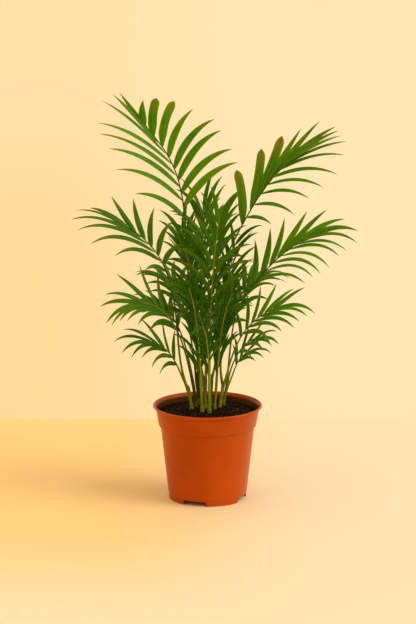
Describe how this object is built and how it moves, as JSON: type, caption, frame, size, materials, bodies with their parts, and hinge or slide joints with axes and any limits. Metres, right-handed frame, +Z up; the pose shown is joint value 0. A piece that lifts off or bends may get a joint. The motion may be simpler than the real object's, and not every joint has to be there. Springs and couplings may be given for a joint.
{
  "type": "potted palm",
  "caption": "Young parlour palm: a clump of thin canes with arching feather-shaped fronds, in a round tapered nursery pot filled with soil.",
  "frame": {"origin": "centre of the pot's underside, on the ground", "axes": "+Z up along the pot's axis, -Y the front that shows the tallest frond on the left, +X to the right"},
  "size_m": [0.3101, 0.2085, 0.4475],
  "materials": {
    "pot_plastic": "satin terracotta-orange polypropylene",
    "soil": "damp dark peat with fibres and crumbs",
    "cane": "smooth yellow-green stem with darker sheaths",
    "leaf": "soft glossy green blade, olive at some tips"
  },
  "bodies": {
    "root": {"pot": "pot_plastic", "soil": "soil", "cane_a": "cane", "cane_b": "cane", "cane_c": "cane", "cane_d": "cane", "cane_e": "cane", "cane_f": "cane", "cane_g": "cane", "cane_h": "cane", "cane_i": "cane", "cane_j": "cane", "frond_back_left": "leaf", "frond_back_right": "leaf", "frond_back_upright": "leaf", "frond_front_left": "leaf", "frond_front_right": "leaf", "frond_inner_left": "leaf", "frond_inner_right": "leaf", "frond_low_back": "leaf", "frond_low_front": "leaf", "frond_lower_left": "leaf", "frond_lower_right": "leaf", "frond_lowest_left": "leaf", "frond_lowest_right": "leaf", "frond_middle_back": "leaf", "frond_middle_front": "leaf", "frond_middle_left": "leaf", "frond_middle_right": "leaf", "frond_side_left": "leaf", "frond_side_right": "leaf", "frond_top_back": "leaf", "frond_top_left": "leaf", "frond_top_right": "leaf"}
  },
  "joints": []
}
